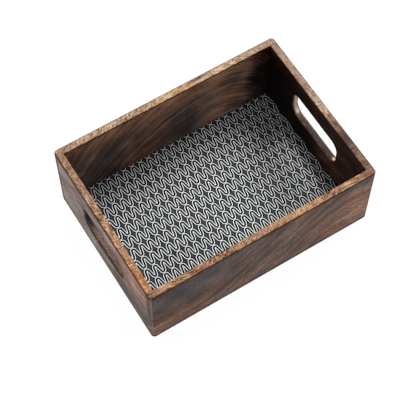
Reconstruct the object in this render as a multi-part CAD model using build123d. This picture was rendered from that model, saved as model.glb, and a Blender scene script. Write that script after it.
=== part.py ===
from build123d import *
import os

# A deep wooden serving tray, in millimetres: four boards round a panel that sits in a groove,
# with a patterned sheet on the panel and a hand slot in each end board.
# +X runs along the long side, +Y across it and +Z up. The origin is the middle of the underside.

# Driving dimensions of the box
LENGTH = 320.0
WIDTH = 232.0
HEIGHT = 120.0
BOARD = 10.0

# Rounded edges of the finished box
CORNER_ROUND = 5.0
BASE_ROUND = 4.0
RIM_ROUND = 1.5

# Panel, its groove, and the sheet glued on it
PANEL = 5.0
GROOVE_DEPTH = 4.0
GROOVE_FLOOR = 2.7
PANEL_GAP = 0.5
SHEET = 0.8

# Hand slot, the same in both end boards
SLOT_LENGTH = 96.0
SLOT_HEIGHT = 43.0
SLOT_CORNER = 13.0
SLOT_CENTRE = 65.0
SLOT_ROUND = 3.0

# Headless pins that hold each long board to the end grain of the end boards
PIN_RADIUS = 1.0
PIN_LENGTH = 26.0
PIN_COVER = 3.0
PIN_FIT = 0.05
PIN_HEIGHTS = (20.0, 60.0, 100.0)

# Sizes that follow
INNER_LENGTH = LENGTH - 2 * BOARD
INNER_WIDTH = WIDTH - 2 * BOARD
PANEL_TOP = GROOVE_FLOOR + PANEL
SIDES = (-1, 1)

LOW_Z = (Align.CENTER, Align.CENTER, Align.MIN)


def slab(length, width, height, floor):
    """A centred block that starts at the height floor."""
    return Pos(0, 0, floor) * Box(length, width, height, align=LOW_Z)


def wall_ring():
    """The four walls in one piece, rounded and grooved as they are after assembly."""
    ring = slab(LENGTH, WIDTH, HEIGHT, 0)
    ring = fillet(ring.edges().filter_by(Axis.Z), CORNER_ROUND)
    ring = fillet(ring.edges().group_by(Axis.Z)[0], BASE_ROUND)
    ring -= slab(INNER_LENGTH, INNER_WIDTH, HEIGHT, 0)
    ring = fillet(ring.edges().group_by(Axis.Z)[-1], RIM_ROUND)
    groove = slab(INNER_LENGTH + 2 * GROOVE_DEPTH, INNER_WIDTH + 2 * GROOVE_DEPTH, PANEL, GROOVE_FLOOR)
    return ring - groove


def pins_at(radius, x, y_side):
    """Pins across one corner, one above another, from inside the long board into the end board."""
    y_middle = y_side * (WIDTH / 2 - PIN_COVER - PIN_LENGTH / 2)
    pin = Rot(90, 0, 0) * Cylinder(radius, PIN_LENGTH)
    return [Pos(x, y_middle, height) * pin for height in PIN_HEIGHTS]


def all_pins(radius):
    """The pins of all four corners."""
    pin_line = LENGTH / 2 - BOARD / 2
    return [pin for x_side in SIDES for y_side in SIDES for pin in pins_at(radius, x_side * pin_line, y_side)]


def long_board(ring, side):
    """A long board runs the whole length, over the ends of the end boards."""
    reach = Pos(0, side * (WIDTH - BOARD) / 2, 0) * slab(LENGTH, BOARD, HEIGHT, 0)
    return ring & reach


def hand_slot(side):
    """The cutter for a slot with rounded corners, through one end board."""
    outline = RectangleRounded(SLOT_LENGTH, SLOT_HEIGHT, SLOT_CORNER)
    outline = Plane.YZ.offset(side * LENGTH / 2) * Pos(0, SLOT_CENTRE) * outline
    return extrude(outline, amount=2 * BOARD, both=True)


def is_slot_edge(edge):
    """True for an edge of the hand slot that lies on a face of the board."""
    box = edge.bounding_box()
    low, high = SLOT_CENTRE - SLOT_HEIGHT / 2, SLOT_CENTRE + SLOT_HEIGHT / 2
    flat = box.size.X < 0.01
    inside = box.min.Z > low - 1 and box.max.Z < high + 1 and abs(edge.center().Y) < SLOT_LENGTH / 2 + 1
    return flat and inside


def end_board(ring, side):
    """An end board fits between the long boards and has the hand slot through it."""
    reach = Pos(side * (LENGTH - BOARD) / 2, 0, 0) * slab(BOARD, INNER_WIDTH, HEIGHT, 0)
    board = (ring & reach) - hand_slot(side)
    return fillet(board.edges().filter_by(is_slot_edge), SLOT_ROUND)


def base_panel():
    """The panel that floats in the groove, with a little room to move."""
    reach = 2 * (GROOVE_DEPTH - PANEL_GAP)
    return slab(INNER_LENGTH + reach, INNER_WIDTH + reach, PANEL, GROOVE_FLOOR)


def pattern_sheet():
    """The patterned sheet that covers the panel from wall to wall."""
    return slab(INNER_LENGTH, INNER_WIDTH, SHEET, PANEL_TOP)


def build():
    """Every sub-part by node name."""
    ring = wall_ring()
    for hole in all_pins(PIN_RADIUS + PIN_FIT):
        ring -= hole
    return {
        "front_board": long_board(ring, -1),
        "back_board": long_board(ring, 1),
        "left_end_board": end_board(ring, -1),
        "right_end_board": end_board(ring, 1),
        "base_panel": base_panel(),
        "pattern_sheet": pattern_sheet(),
        "corner_pins": Compound(children=all_pins(PIN_RADIUS)),
    }


os.makedirs("parts", exist_ok=True)
for name, shape in build().items():
    export_step(shape, f"parts/{name}.step")
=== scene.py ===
import math

import bmesh
import bpy
import numpy as np
from mathutils import Matrix, Vector


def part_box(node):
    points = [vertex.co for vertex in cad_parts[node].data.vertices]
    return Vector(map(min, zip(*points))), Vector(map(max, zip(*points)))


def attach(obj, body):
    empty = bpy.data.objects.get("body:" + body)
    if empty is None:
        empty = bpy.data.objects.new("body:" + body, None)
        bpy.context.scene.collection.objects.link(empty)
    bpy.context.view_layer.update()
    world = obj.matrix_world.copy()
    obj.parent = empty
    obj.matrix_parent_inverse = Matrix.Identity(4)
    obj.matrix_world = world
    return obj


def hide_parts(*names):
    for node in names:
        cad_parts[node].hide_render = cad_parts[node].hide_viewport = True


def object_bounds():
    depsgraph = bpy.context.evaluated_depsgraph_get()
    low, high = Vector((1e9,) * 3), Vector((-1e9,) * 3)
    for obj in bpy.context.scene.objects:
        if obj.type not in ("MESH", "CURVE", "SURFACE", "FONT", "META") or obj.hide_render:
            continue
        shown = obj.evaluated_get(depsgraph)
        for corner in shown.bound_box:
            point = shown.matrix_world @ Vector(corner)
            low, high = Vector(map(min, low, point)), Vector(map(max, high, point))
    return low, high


# A deep wooden serving tray: dark stained boards with a pale rim, and a sheet printed with waves.
# Lengths are in metres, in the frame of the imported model: +X along the tray, +Y across it, +Z up.
# Only the class Wood and the descriptions of the boards count in millimetres.

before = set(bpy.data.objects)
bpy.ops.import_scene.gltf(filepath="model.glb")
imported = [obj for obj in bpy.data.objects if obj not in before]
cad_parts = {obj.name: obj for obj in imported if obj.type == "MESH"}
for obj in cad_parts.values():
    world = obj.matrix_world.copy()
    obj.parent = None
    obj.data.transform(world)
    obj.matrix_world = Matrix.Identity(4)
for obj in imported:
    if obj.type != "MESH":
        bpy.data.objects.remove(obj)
cad_low, cad_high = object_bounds()
MM = 0.001
SHEET_LOW, SHEET_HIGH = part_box("pattern_sheet")

# Sizes in millimetres for the wood
HALF_LENGTH, HALF_WIDTH, TOP = (1000 * v for v in cad_high)
HALF_INNER_X, HALF_INNER_Y = 1000 * SHEET_HIGH.x, 1000 * SHEET_HIGH.y
BOARD_MIDDLE = (HALF_LENGTH + HALF_INNER_X) / 2
SLOT_CENTRE = 65.0
SLOT_HALF_LENGTH = 48.0

# Inputs and output of the Mix node that carry colours
MIX_FIRST, MIX_SECOND, MIX_RESULT = 6, 7, 2


class Tree:
    """A short way to write a material. Each call adds a node and returns the socket it gives."""

    def __init__(self, name):
        self.material = bpy.data.materials.new(name)
        self.material.use_nodes = True
        self.nodes = self.material.node_tree.nodes
        self.links = self.material.node_tree.links
        self.nodes.clear()

    def put(self, kind, sockets, output=0, **settings):
        """A node of any kind. sockets gives its inputs, each a value or another node's output."""
        node = self.nodes.new("ShaderNode" + kind)
        for key, value in settings.items():
            setattr(node, key, value)
        for key, value in sockets.items():
            if isinstance(value, bpy.types.NodeSocket):
                self.links.new(value, node.inputs[key])
            else:
                node.inputs[key].default_value = value
        return node.outputs[output]

    def math(self, operation, *values):
        return self.put("Math", dict(enumerate(values)), operation=operation)

    def chain(self, operation, values):
        """One operation on several values, from the first to the last."""
        total = values[0]
        for value in values[1:]:
            total = self.math(operation, total, value)
        return total

    def add(self, *values):
        return self.chain("ADD", values)

    def times(self, *values):
        return self.chain("MULTIPLY", values)

    def minus(self, value, less):
        return self.math("SUBTRACT", value, less)

    def size(self, value):
        return self.math("ABSOLUTE", value)

    def off(self, value, middle):
        """How far value is from the middle, on either side."""
        return self.size(self.minus(value, middle))

    def step(self, value, start, end, low=0.0, high=1.0):
        """Goes smoothly from low to high as value goes from start to end, and start may be above end."""
        if start > end:
            start, end, low, high = end, start, high, low
        sockets = {"Value": value, "From Min": start, "From Max": end, "To Min": low, "To Max": high}
        return self.put("MapRange", sockets, interpolation_type="SMOOTHSTEP")

    def peak(self, value, middle, half):
        """1 at the middle, falling to 0 at half on either side."""
        return self.step(self.off(value, middle), half, 0.0)

    def vector(self, x, y, z):
        return self.put("CombineXYZ", {0: x, 1: y, 2: z})

    def parts(self, vector):
        """The three numbers of a vector or a colour, as a list of sockets."""
        node = self.nodes.new("ShaderNodeSeparateXYZ")
        self.links.new(vector, node.inputs[0])
        return node.outputs

    def place(self):
        """Where a point lies on the object."""
        return self.put("TexCoord", {}, output="Object")

    def noise(self, vector, scale=1.0, detail=2.0, roughness=0.5, output=0):
        sockets = {"Vector": vector, "Scale": scale, "Detail": detail, "Roughness": roughness}
        return self.put("TexNoise", sockets, output=output)

    def mix(self, share, first, second, how="MIX"):
        sockets = {0: share, MIX_FIRST: first, MIX_SECOND: second}
        return self.put("Mix", sockets, output=MIX_RESULT, data_type="RGBA", blend_type=how)

    def ramp(self, value, positions, colours):
        """The colour at value on a ramp with a colour at each position."""
        node = self.nodes.new("ShaderNodeValToRGB")
        self.links.new(value, node.inputs[0])
        elements = node.color_ramp.elements
        while len(elements) < len(colours):
            elements.new(0.5)
        for element, position, colour in zip(elements, positions, colours):
            element.position, element.color = position, colour
        return node.outputs[0]

    def finish(self, colour, roughness, height=None, depth=0.0, **more):
        """A principled surface, with a bump of some depth from height where there is one."""
        sockets = {"Base Color": colour, "Roughness": roughness, **more}
        if height is not None:
            sockets["Normal"] = self.put("Bump", {"Strength": 1.0, "Distance": depth, "Height": height})
        surface = self.put("BsdfPrincipled", sockets)
        out = self.nodes.new("ShaderNodeOutputMaterial")
        self.links.new(surface, out.inputs[0])
        return self.material


# The studio light is a little bright, so every paint is darker than it should look by this factor.
DIM = 0.93


def tone(red, green, blue):
    """The paint, as linear colour, that looks like these display values from 0 to 255 in the studio."""
    def linear(value):
        value /= 255
        return value / 12.92 if value <= 0.04045 else ((value + 0.055) / 1.055) ** 2.4
    return (DIM * linear(red), DIM * linear(green), DIM * linear(blue), 1.0)


def tones(*colours):
    return tuple(tone(*colour) for colour in colours)


# Colours of the wood, from dark to light
COOL = tones((20, 15, 18), (43, 35, 36), (73, 61, 59), (108, 92, 86), (156, 136, 124))
WARM = tones((22, 11, 7), (52, 30, 22), (92, 60, 46), (134, 96, 76), (184, 144, 116))
SLOT_WALL = tones((60, 44, 38), (92, 70, 60), (120, 96, 82), (154, 126, 107), (208, 184, 158))
ORANGE_RIM = tones((58, 34, 25), (114, 80, 60), (158, 118, 88), (220, 180, 140))
BEIGE_RIM = tones((70, 47, 36), (132, 102, 80), (174, 142, 112), (226, 200, 166))
PALE = tones((150, 116, 82), (184, 150, 112), (204, 174, 136), (222, 196, 160))

# Where those colours sit on a scale from 0 to 1
STAIN_STEPS = (0.20, 0.36, 0.50, 0.64, 0.80)
RIM_STEPS = (0.22, 0.40, 0.56, 0.78)
PALE_STEPS = (0.30, 0.45, 0.60, 0.75)

# A light spot brightens its board by its own lightness times this.
SPOT_GAIN = 8.0

# Single colours of details
PORE = tone(20, 14, 13)
ARC = tone(166, 140, 118)
RIM_PINK = tone(196, 140, 124)
RIM_YELLOW = tone(206, 178, 124)
RIM_TICK = tone(98, 50, 36)
RIM_EDGE = tone(46, 32, 27)
STAIN_LINE = tone(22, 14, 12)
BOTTOM_EDGE = tone(9, 7, 7)
# Dark line of the joints between boards, also used for the painted shade round the slot edges
SEAM_AND_SHADE_LINE = tone(28, 18, 14)
# Pale colour of the painted highlight down the outer corners
CORNER_HIGHLIGHT = tone(150, 128, 112)


class Wood(Tree):
    """Stained wood with a raw rim, for one board.

    along is 0 for a board that runs along X and 1 for one along Y.
    seed sets the board's grain apart from that of the others.
    field adds the board's own figure to the height, and the grain follows the lines where the sum is level.
    tilt leans the growth rings through the board.
    """

    def __init__(self, name, along, seed, field, tilt):
        super().__init__(name)
        place = self.parts(self.place())
        self.x, self.y, self.z = (self.times(place[i], 1000.0) for i in range(3))
        self.run, self.through = (self.x, self.y) if along == 0 else (self.y, self.x)
        self.shifted = self.add(self.run, seed * 97.0)
        across = self.add(self.through, seed * 53.0)
        self.solid = self.vector(self.add(self.run, seed * 371.0), self.z, across)

        # The grain follows the figure, and bends round slow swirls and small ripples.
        wander = self.times(self.cloud(75.0, 1.0, 0.5), 24.0)
        self.ripple = self.times(self.cloud(18.0, 1.0, 0.5), 3.0)
        self.figure = self.add(self.z, field(self, self.run))
        self.lift = self.add(self.figure, wander, self.ripple, self.times(self.through, tilt))

        self.bands = self.streak(140.0, 10.0)
        self.lines = self.streak(75.0, 2.4, 2.0, 0.6)
        self.fibre = self.streak(42.0, 0.9, 2.0, 0.65)
        self.pores = self.streak(7.0, 0.5, 1.0)
        self.patches = self.cloud(36.0, 3.0, 0.6)
        self.grit = self.cloud(1.3, 2.0, 0.7)
        self.ragged = self.add(self.cloud(3.0), self.times(self.cloud(8.0), 1.5))

        # Which faces are inside the tray, and which are not
        self.indoors = self.times(
            self.step(self.size(self.x), HALF_INNER_X + 0.8, HALF_INNER_X + 0.2),
            self.step(self.size(self.y), HALF_INNER_Y + 0.8, HALF_INNER_Y + 0.2),
        )
        self.outside = self.minus(1.0, self.indoors)

    def streak(self, long, wide, detail=2.0, roughness=0.55):
        """Noise drawn out along the grain, from -0.5 to 0.5."""
        across = self.times(self.through, 1 / (3 * wide))
        drawn = self.vector(self.times(self.shifted, 1 / long), self.times(self.lift, 1 / wide), across)
        return self.minus(self.noise(drawn, 1.0, detail, roughness), 0.5)

    def cloud(self, size, detail=2.0, roughness=0.55, channel=0):
        """Noise with no direction, from -0.5 to 0.5. Each channel from 0 to 2 is another pattern."""
        colour = self.noise(self.solid, 1 / size, detail, roughness, output="Color")
        return self.minus(self.parts(colour)[channel], 0.5)

    def stained(self, spots, arcs, inner):
        """Colour of the faces: how much stain went in chooses the shade, and warmth the palette. On some
        boards the spots and inner paint shade and light into it as well.
        """
        # Besides the stain, this holds the painted shade of a darker inner face.
        self.stain = self.add(
            0.52, self.times(self.patches, 0.45), self.times(self.bands, 0.4), self.times(self.lines, 0.35),
            self.times(self.fibre, 0.75), self.times(self.grit, 0.8), self.times(self.indoors, -inner),
        )
        hue = self.cloud(44.0, 3.0, 0.6, channel=1)
        warmth = self.add(0.5, self.times(hue, 2.0), self.times(self.bands, 0.3), self.times(self.lines, 0.6))
        gains = []
        for centre, level, half_run, half_level, lighter, warmer in spots:
            gap_run = self.times(self.minus(self.run, centre), 1 / half_run)
            gap_level = self.times(self.minus(self.z, level), 1 / half_level)
            far = self.add(
                self.times(gap_run, gap_run), self.times(gap_level, gap_level),
                self.times(self.patches, 0.9), self.times(self.bands, 0.7),
            )
            near = self.times(self.step(far, 1.3, 0.0), self.indoors if inner else self.outside)
            # A darker spot is added to the stain; on some boards it is painted shade.
            if lighter < 0:
                self.stain = self.add(self.stain, self.times(near, lighter))
            else:
                gains.append(self.add(1.0, self.times(near, SPOT_GAIN * lighter)))
            warmth = self.add(warmth, self.times(near, warmer))

        cool, warm = (self.ramp(self.stain, STAIN_STEPS, palette) for palette in (COOL, WARM))
        face = self.mix(self.step(warmth, 0.1, 0.9), cool, warm)
        for gain in gains:
            face = self.mix(1.0, face, gain, "MULTIPLY")
        for level, start, end, strength in arcs:
            off = self.size(self.add(self.figure, self.times(self.ripple, 0.6), -level))
            fade_in = self.step(self.run, start, start + 25.0)
            fade_out = self.step(self.run, end, end - 25.0)
            line = self.times(self.step(off, 1.8, 0.4), fade_in, fade_out, self.indoors, strength)
            face = self.mix(line, face, ARC)
        return self.mix(self.step(self.pores, 0.10, 0.22, 0.0, 0.6), face, PORE)

    def bare(self, rim, tints, ticks):
        """Colour of the rim, where sanding took the stain off."""
        raw = self.add(
            0.5, self.times(self.fibre, 1.4), self.times(self.lines, 0.9), self.times(self.grit, 1.0),
            self.times(self.patches, 0.5),
        )
        bare = self.ramp(raw, RIM_STEPS, rim)
        bare = self.mix(self.step(self.cloud(9.0, channel=2), 0.02, 0.16, 0.0, 0.35), bare, RIM_PINK)
        bare = self.mix(self.step(self.cloud(7.0, channel=1), 0.04, 0.18, 0.0, 0.35), bare, RIM_YELLOW)
        uneven = self.add(self.run, self.times(self.patches, 30.0))
        for centre, half_run, strength, colour in tints:
            bare = self.mix(self.times(self.peak(uneven, centre, half_run), strength), bare, colour)
        along, across = self.times(self.run, 1 / 1.6), self.times(self.through, 1 / 8.0)
        marks = self.noise(self.vector(along, across, self.times(self.z, 0.02)), 1.0, 2.0, 0.6)
        return self.mix(self.step(marks, 0.54, 0.66, 0.0, ticks), bare, RIM_TICK)

    def sanded_rim(self, face, bare):
        """The faces and the bare rim together, with dark lines along its edges, and a mask of the rim."""
        depth = self.minus(TOP, self.add(self.z, self.times(self.ragged, 1.2)))
        on_rim = self.step(depth, 1.0, 0.4)
        below_rim = self.times(self.step(depth, 4.2, 2.6), self.step(depth, 0.4, 0.9))
        from_end, from_side = self.from_outside()
        edge = self.step(self.add(self.math("MINIMUM", from_end, from_side), self.ragged), 1.9, 0.9)
        colour = self.mix(on_rim, face, bare)
        colour = self.mix(self.times(below_rim, 0.8), colour, STAIN_LINE)
        return self.mix(self.times(edge, on_rim, 0.8), colour, RIM_EDGE), on_rim

    def from_outside(self):
        """Distances inward from the tray's outer ends and outer sides."""
        return self.minus(HALF_LENGTH, self.size(self.x)), self.minus(HALF_WIDTH, self.size(self.y))

    def joints_and_corners(self, colour, on_rim):
        """Hairlines where the end boards meet the long boards, and a painted highlight down the outer
        corners, broken up like wear.
        """
        joint = self.step(self.off(self.size(self.y), HALF_INNER_Y), 0.6, 0.2)
        hairline = self.times(joint, self.outside, self.add(0.35, self.times(on_rim, 0.2)))
        colour = self.mix(hairline, colour, SEAM_AND_SHADE_LINE)
        gap = self.add(*self.from_outside(), self.times(self.ragged, 0.6))
        # Painted highlight: a pale strip down each outer vertical corner, broken up with noise.
        corner = self.times(self.step(gap, 3.25, 3.0), self.step(self.z, 3.0, 16.0), self.minus(1.0, on_rim))
        return self.mix(self.times(corner, 0.55), colour, CORNER_HIGHLIGHT)

    def slot_walls(self, colour, light, ends, shade_ring):
        """Walls of the hand slot, which are stained otherwise than the faces, with ends set lighter or darker
        and a line round each edge; the darker ends and the line are painted shade.
        """
        off_middle = self.off(self.size(self.x), BOARD_MIDDLE)
        beside = self.size(self.y)
        in_run = self.step(beside, SLOT_HALF_LENGTH + 5.0, SLOT_HALF_LENGTH + 3.0)
        in_slot = self.math("GREATER_THAN", self.times(in_run, self.peak(self.z, SLOT_CENTRE, 28.0)), 0.02)
        # Below 0, at_ends paints shade at the ends of the slot walls.
        at_ends = self.step(beside, SLOT_HALF_LENGTH - 14.0, SLOT_HALF_LENGTH - 2.0, 0.0, ends)
        worn_and_shaded = self.ramp(self.add(self.times(self.stain, 0.6), at_ends, light), STAIN_STEPS, SLOT_WALL)
        colour = self.mix(self.times(in_slot, self.step(off_middle, 3.6, 1.6)), colour, worn_and_shaded)
        # The line round each edge of the slot is painted shade.
        return self.mix(self.times(in_slot, self.peak(off_middle, 3.4, 1.6), shade_ring), colour, SEAM_AND_SHADE_LINE)

    def painted(self, rim, spots=(), arcs=(), tints=(), inner=0.0, slot=(), ticks=0.3):
        """The finished material.

        rim holds the colours of the bare rim from dark to light.
        Each spot, lighter or darker, is (run, height, half length, half height, lighter, warmer); some are
        stain, some painted shade or sheen.
        The spots are on the outer face, or on the inner face where inner is not 0.
        inner is how much darker the inner face is than the outer one, as painted shade; below 0 it paints the
        inner face lighter.
        Each arc, a pale line that follows the figure on the inner face, is (level, start, end, strength).
        Each tint, a part of the rim with another colour, is (run, half length, strength, colour).
        slot, for an end board, is how light the walls of its hand slot are, how much more so at their ends
        (below 0, painted shade there), and how dark the line of painted shade round its edges is.
        ticks is the strength of the short dark marks across the rim.
        """
        colour, on_rim = self.sanded_rim(self.stained(spots, arcs, inner), self.bare(rim, tints, ticks))
        low = self.times(self.step(self.add(self.z, self.times(self.ragged, 4.0)), 11.0, 3.0), self.outside)
        colour = self.mix(self.times(low, 0.85), colour, BOTTOM_EDGE)
        colour = self.joints_and_corners(colour, on_rim)
        if slot:
            colour = self.slot_walls(colour, *slot)

        rough = self.add(self.times(self.fibre, 0.3), self.times(on_rim, 0.10), 0.55)
        grooves = self.times(self.pores, -0.5)
        height = self.add(self.times(self.fibre, 0.6), grooves, self.times(self.lines, 0.4))
        shine = self.step(low, 0.0, 1.0, 0.10, 0.02)
        return self.finish(colour, rough, height, 0.3 * MM, **{"Specular IOR Level": shine})


def mottled(name, colour, spread, rough, **more):
    """A plain surface such as ink or steel, with faint mottling and handling marks."""
    t = Tree(name)
    mottle = t.noise(t.place(), 900.0, 3.0, 0.6)
    clouds = t.noise(t.place(), 18.0, 2.0, 0.5)
    shade = t.add(t.times(mottle, 0.6), t.times(clouds, 0.4))
    darker = tuple(c * (1 - spread) for c in colour[:3]) + (1.0,)
    lighter = tuple(min(1.0, c * (1 + spread)) for c in colour[:3]) + (1.0,)
    body = t.ramp(shade, (0.35, 0.65), (darker, lighter))
    roughness = t.add(t.times(clouds, 0.2), t.times(mottle, 0.1), rough)
    return t.finish(body, roughness, mottle, 0.03 * MM, **more)


def plain_wood(name):
    """Pale wood with no stain, as used where nobody looks: straight grain and fine pores."""
    t = Tree(name)
    x, y, z = t.parts(t.place())
    bend = t.times(t.noise(t.place(), 6.0, 2.0), 0.03)
    bent_y = t.times(t.add(y, bend), 160.0)
    rings = t.noise(t.vector(t.times(x, 4.0), bent_y, t.times(z, 60.0)), 1.0, 3.0, 0.6)
    fine_y, fine_z = t.times(y, 1100.0), t.times(z, 1100.0)
    fibre = t.noise(t.vector(t.times(x, 90.0), fine_y, fine_z), 1.0, 2.0, 0.6)
    clouds = t.noise(t.place(), 22.0, 3.0)
    value = t.add(t.times(rings, 0.6), t.times(fibre, 0.3), t.times(clouds, 0.3), -0.1)
    roughness = t.add(t.times(fibre, 0.3), 0.5)
    return t.finish(t.ramp(value, PALE_STEPS, PALE), roughness, t.add(fibre, rings), 0.1 * MM)


# The wave print: rows of tall waves, each one a black band between two white lines with a thin dark outline.
# CORE, LINE and OUTLINE are the distances from the middle of the wave at which each colour ends.
PERIOD = 12.05 * MM
ROW = 16.96 * MM
SWING = 6.2 * MM
SQUARENESS = 1.9
CORE = 1.30 * MM
LINE = 2.06 * MM
OUTLINE = 3.35 * MM
FIRST_ROW = 111.1 * MM
FIRST_CREST = -115.7 * MM
COLUMNS_A_WAVE = 24
SEAM = 0.2 * MM

# Material slots of the sheet
GROUND, WHITE, BLACK = 0, 1, 2


def centreline(x, shift):
    """Height of a wave's middle line at x: a sine that is pushed towards a square wave."""
    turn = 2 * math.pi * (x - FIRST_CREST - shift) / PERIOD
    return SWING * np.tanh(SQUARENESS * np.cos(turn)) / math.tanh(SQUARENESS)


def beside(x, shift, distance):
    """The lower and upper lines at a distance from the wave's middle line."""
    offsets = np.linspace(-distance, distance, 61)
    reach = np.sqrt(np.maximum(distance**2 - offsets**2, 0.0))
    around = centreline(x[:, None] + offsets[None, :], shift)
    return (around - reach).min(axis=1), (around + reach).max(axis=1)


def wave_lines(x, low, high):
    """Heights at x of every line across the sheet, from front to back, and the slot of each strip between."""
    lines, slots = [np.full_like(x, low)], []
    for row in reversed(range(math.ceil((FIRST_ROW + ROW / 2 - low) / ROW))):
        middle = FIRST_ROW - row * ROW
        shift = (row % 2) * PERIOD / 2
        below, above = zip(*(beside(x, shift, distance) for distance in (OUTLINE, LINE, CORE)))
        limit = np.full_like(x, ROW / 2)
        strips = (GROUND, BLACK, WHITE, BLACK, WHITE, BLACK, GROUND)
        for edge, slot in zip((*below, *above[::-1], limit), strips):
            lines.append(np.clip(middle + np.clip(edge, -ROW / 2, ROW / 2), low, high))
            slots.append(slot)
    return np.array(lines), slots


def sheet_mesh():
    """A closed slab whose top is cut along the printed lines, with one material slot for each colour."""
    low, high = SHEET_LOW + Vector((SEAM, SEAM, 0)), SHEET_HIGH - Vector((SEAM, SEAM, 0))
    columns = round((high.x - low.x) / (PERIOD / COLUMNS_A_WAVE))
    x = np.linspace(low.x, high.x, columns + 1)
    lines, slots = wave_lines(x, low.y, high.y)
    bm = bmesh.new()
    top = [[bm.verts.new((x[i], line[i], high.z)) for i in range(columns + 1)] for line in lines]
    for near, far, slot in zip(top, top[1:], slots):
        for i in range(columns):
            bm.faces.new((near[i], near[i + 1], far[i + 1], far[i])).material_index = slot
    between = top[1:-1]
    border = top[0] + [line[-1] for line in between] + top[-1][::-1] + [line[0] for line in between[::-1]]
    under = [bm.verts.new((v.co.x, v.co.y, low.z)) for v in border]
    for k in range(len(border)):
        bm.faces.new((under[k - 1], under[k], border[k], border[k - 1]))
    bm.faces.new(under[::-1])
    bmesh.ops.remove_doubles(bm, verts=bm.verts[:], dist=1e-6)
    bmesh.ops.dissolve_degenerate(bm, edges=bm.edges[:], dist=1e-7)
    mesh = bpy.data.meshes.new("wave_sheet")
    bm.to_mesh(mesh)
    bm.free()
    return mesh


MATT = {"Specular IOR Level": 0.08}
sheet = bpy.data.objects.new("wave_sheet", sheet_mesh())
bpy.context.scene.collection.objects.link(sheet)
for material in (
    mottled("charcoal_ground", tone(57, 60, 68), 0.6, 0.34, **MATT),
    mottled("white_line", (0.92, 0.97, 1.0, 1.0), 0.03, 0.30, **MATT),
    mottled("black_band", tone(2, 2, 4), 0.25, 0.30, **MATT),
):
    sheet.data.materials.append(material)
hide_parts("pattern_sheet")
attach(sheet, "root")


def front_field(t, run):
    """Level to the left, then climbing at about forty degrees, and level again at the right end."""
    return t.step(run, -100.0, 120.0, 0.0, -120.0)


def back_field(t, run):
    """An arch with its top at the right, long on the left side and short on the right."""
    gap = t.minus(run, 68.0)
    return t.times(gap, gap, t.step(gap, -8.0, 8.0, 0.0031, 0.0085))


def end_field(t, run):
    """A gentle fall towards the back."""
    return t.times(run, 0.25)


finishes = {
    "front_board": Wood("front_wood", 0, 1.0, front_field, 0.5).painted(
        ORANGE_RIM,
        spots=[
            (-130.0, 110.0, 120.0, 60.0, -0.05, -0.4),
            (-120.0, 40.0, 70.0, 40.0, 0.02, 0.5),
            (140.0, 45.0, 70.0, 60.0, 0.08, 0.4),
        ],
        tints=[
            (-158.0, 14.0, 0.6, tone(84, 52, 36)),
            (40.0, 60.0, 0.3, tone(214, 160, 108)),
            (158.0, 34.0, 0.6, tone(100, 68, 56)),
        ],
    ),
    "back_board": Wood("back_wood", 0, 2.0, back_field, 0.5).painted(
        BEIGE_RIM,
        spots=[
            (-93.0, 50.0, 30.0, 45.0, -0.06, -0.6),
            (20.0, 50.0, 26.0, 40.0, -0.06, -0.6),
            (62.0, 40.0, 34.0, 60.0, 0.07, 0.0),
            (-40.0, 50.0, 40.0, 50.0, 0.02, 0.2),
            (0.0, 118.0, 170.0, 30.0, 0.06, 0.7),
            (105.0, 15.0, 45.0, 40.0, 0.10, 0.0),
            # Painted shade: the right end of the inner face, darkened into the back right corner.
            (152.0, 50.0, 38.0, 100.0, -0.36, 0.0),
        ],
        arcs=[(81.5, -80.0, 135.0, 0.75), (91.0, -10.0, 110.0, 0.3), (70.0, 70.0, 150.0, 0.2)],
        tints=[(0.0, 60.0, 0.35, tone(178, 128, 86)), (140.0, 60.0, 0.4, tone(150, 124, 112))],
        # Painted light: inner below 0 makes the inner face lighter than the outer one.
        inner=-0.09,
    ),
    "left_end_board": Wood("left_wood", 1, 3.0, end_field, 0.1).painted(
        ORANGE_RIM,
        spots=[
            # The first two spots are a painted sheen: the outer face lighter and cooler all over, and more so
            # near the back corner.
            (20.0, 70.0, 240.0, 150.0, 0.18, -0.4),
            (110.0, 60.0, 50.0, 70.0, 0.05, -0.3),
            (-100.0, 10.0, 110.0, 50.0, -0.16, 0.2),
            (-70.0, 100.0, 60.0, 40.0, 0.02, 0.5),
        ],
        tints=[(110.0, 110.0, 0.55, tone(150, 120, 102)), (-90.0, 50.0, 0.35, tone(210, 130, 76))],
        # The dark ends of this slot and the line round its edges are painted shade.
        slot=(0.12, -0.55, 0.85), ticks=0.6,
    ),
    "right_end_board": Wood("right_wood", 1, 4.0, end_field, 0.1).painted(
        BEIGE_RIM,
        spots=[
            # Painted shade: the back and lower part of the inner face, darkened towards the far corner.
            (80.0, 40.0, 90.0, 90.0, -0.25, 0.2),
            (-60.0, 30.0, 70.0, 60.0, 0.10, 1.2),
            (0.0, 116.0, 150.0, 24.0, 0.06, 1.4),
        ],
        tints=[
            (-58.0, 60.0, 0.9, tone(66, 44, 44)),
            (-110.0, 50.0, 0.9, tone(96, 70, 58)),
            (105.0, 36.0, 0.6, tone(112, 90, 80)),
            (60.0, 120.0, 0.6, tone(140, 114, 104)),
        ],
        # inner=0.20 is painted shade: the whole inner face darker than the outer one.
        inner=0.20, slot=(-0.14, 0.85, 0.0),
    ),
    "base_panel": plain_wood("panel_wood"),
    "corner_pins": mottled("pin_steel", tone(150, 150, 150), 0.1, 0.3, Metallic=1.0),
}
for node, material in finishes.items():
    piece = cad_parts[node]
    piece.data.materials.clear()
    piece.data.materials.append(material)

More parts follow.
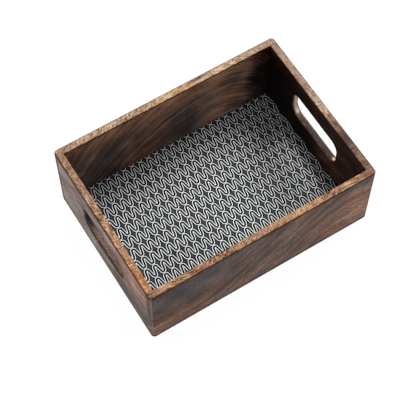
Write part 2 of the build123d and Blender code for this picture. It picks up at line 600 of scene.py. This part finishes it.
# The floor lies just below the tray, so that the two never share a plane.
FLOOR_HALF = 4.0
FLOOR_GAP = 0.3 * MM
FLOOR_GLOW = 0.96
floor = bpy.data.objects.new("floor", bpy.data.meshes.new("floor"))
corners = [(x * FLOOR_HALF, y * FLOOR_HALF, -FLOOR_GAP) for x, y in ((-1, -1), (1, -1), (1, 1), (-1, 1))]
floor.data.from_pydata(corners, [], [(0, 1, 2, 3)])
bpy.context.scene.collection.objects.link(floor)
pale = Tree("pale_floor")
mottle = pale.noise(pale.place(), 60.0, 3.0)
grey = pale.ramp(mottle, (0.3, 0.7), ((0.07, 0.07, 0.07, 1.0), (0.08, 0.08, 0.08, 1.0)))
glow = {"Emission Color": (1.0, 1.0, 1.0, 1.0), "Emission Strength": FLOOR_GLOW}
floor.data.materials.append(pale.finish(grey, 0.8, **glow))

# Even light from all round, and one soft lamp from the right and the back
WORLD_STRENGTH = 0.52
LAMP_PLACE = Vector((1.25, 0.62, 1.7))
LAMP_TARGET = Vector((0.0, 0.0, 0.05))
LAMP_SIZE = 1.0
LAMP_POWER = 52.0
world = bpy.data.worlds.new("studio")
bpy.context.scene.world = world
world.use_nodes = True
background = world.node_tree.nodes["Background"]
background.inputs["Color"].default_value = (1.0, 1.0, 1.0, 1.0)
background.inputs["Strength"].default_value = WORLD_STRENGTH
lamp = bpy.data.lights.new("key", "AREA")
lamp.size, lamp.energy = LAMP_SIZE, LAMP_POWER
key = bpy.data.objects.new("key", lamp)
bpy.context.scene.collection.objects.link(key)
key.location = LAMP_PLACE
key.rotation_mode = "QUATERNION"
key.rotation_quaternion = (LAMP_TARGET - LAMP_PLACE).to_track_quat("-Z", "Y")

# The camera looks down at the front left corner. ACROSS and DOWN slide it sideways, to frame the tray.
AZIMUTH, ELEVATION, ROLL = (math.radians(a) for a in (-31.51, 62.71, 0.21))
DISTANCE = 1.656
AIM = Vector((0.0, 0.0, 0.048))
ACROSS, DOWN = -0.01757, 0.01322
flat = math.cos(ELEVATION)
back = Vector((math.sin(AZIMUTH) * flat, -math.cos(AZIMUTH) * flat, math.sin(ELEVATION)))
right = Vector((0, 0, 1)).cross(back).normalized()
up = back.cross(right)
place = AIM + back * DISTANCE + right * ACROSS - up * DOWN
rolled_right = right * math.cos(ROLL) - up * math.sin(ROLL)
rolled_up = up * math.cos(ROLL) + right * math.sin(ROLL)
turn = Matrix((rolled_right, rolled_up, back)).transposed()
camera = bpy.data.objects.new("camera", bpy.data.cameras.new("camera"))
camera.data.sensor_width = 36.0
camera.data.lens = 118.0
camera.matrix_world = Matrix.Translation(place) @ turn.to_4x4()
bpy.context.scene.collection.objects.link(camera)
bpy.context.scene.camera = camera
bpy.context.scene.view_settings.view_transform = "Standard"
